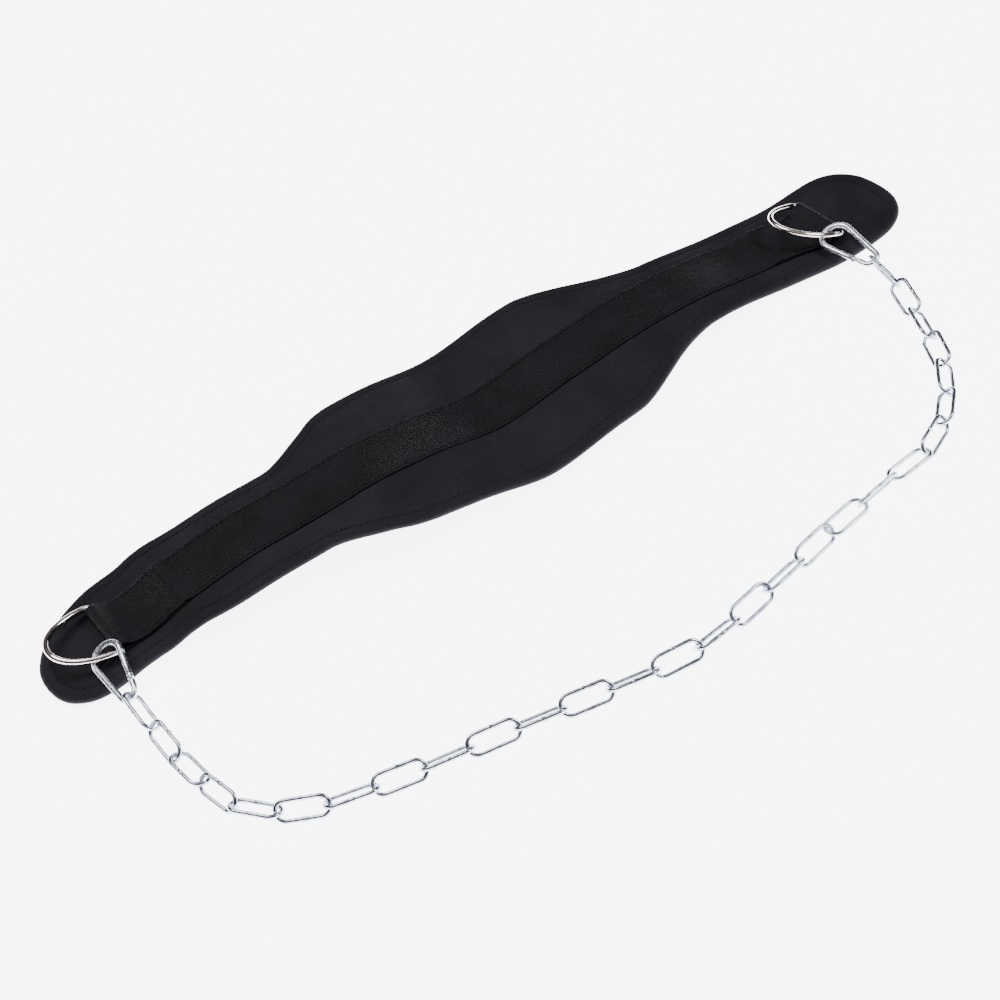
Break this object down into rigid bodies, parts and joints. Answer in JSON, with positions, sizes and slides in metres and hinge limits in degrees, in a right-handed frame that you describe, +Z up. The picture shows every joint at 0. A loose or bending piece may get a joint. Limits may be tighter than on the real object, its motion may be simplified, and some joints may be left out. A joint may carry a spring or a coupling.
{
  "type": "dip belt",
  "caption": "Padded weightlifting dip belt lying flat, with a sewn webbing strap, a D-ring at each end and a steel chain held by two spring hooks.",
  "frame": {"origin": "on the surface under the middle of the whole object's box", "axes": "+X along the belt towards the end whose D-ring is folded back, +Y from the chain to the belt, +Z up from the surface that it lies on"},
  "size_m": [0.7452, 0.3848, 0.03],
  "materials": {
    "foam": "matt black neoprene",
    "webbing": "matt black ribbed webbing",
    "nickel": "bright nickel plate",
    "zinc": "bright zinc plate"
  },
  "bodies": {
    "belt": {"belt_pad": "foam", "webbing_strap": "webbing", "d_ring_left": "nickel", "d_ring_right": "nickel", "hook_left": "zinc", "hook_right": "zinc", "link_01": "zinc", "link_02": "zinc", "link_03": "zinc", "link_04": "zinc", "link_05": "zinc", "link_06": "zinc", "link_07": "zinc", "link_08": "zinc", "link_09": "zinc", "link_10": "zinc", "link_11": "zinc", "link_12": "zinc", "link_13": "zinc", "link_14": "zinc", "link_15": "zinc", "link_16": "zinc", "link_17": "zinc", "link_18": "zinc", "link_19": "zinc", "link_20": "zinc", "link_21": "zinc", "link_22": "zinc", "link_23": "zinc", "link_24": "zinc", "link_25": "zinc", "link_26": "zinc", "link_27": "zinc", "link_28": "zinc"},
    "left_gate": {"hook_left_gate": "zinc"},
    "right_gate": {"hook_right_gate": "zinc"}
  },
  "joints": [
    {"name": "left_gate_hinge", "type": "hinge", "parent": "belt", "child": "left_gate", "pos_m": [-0.32574, 0.05241, 0.01882], "axis": [-0.4396, -0.0269, 0.8978], "range_deg": [0, 25], "stiffness_Nm_per_rad": 0.02, "springref_deg": -20.05},
    {"name": "right_gate_hinge", "type": "hinge", "parent": "belt", "child": "right_gate", "pos_m": [0.2908, 0.03135, 0.01239], "axis": [0.2763, 0.0483, -0.9599], "range_deg": [0, 25], "stiffness_Nm_per_rad": 0.02, "springref_deg": -20.05}
  ]
}
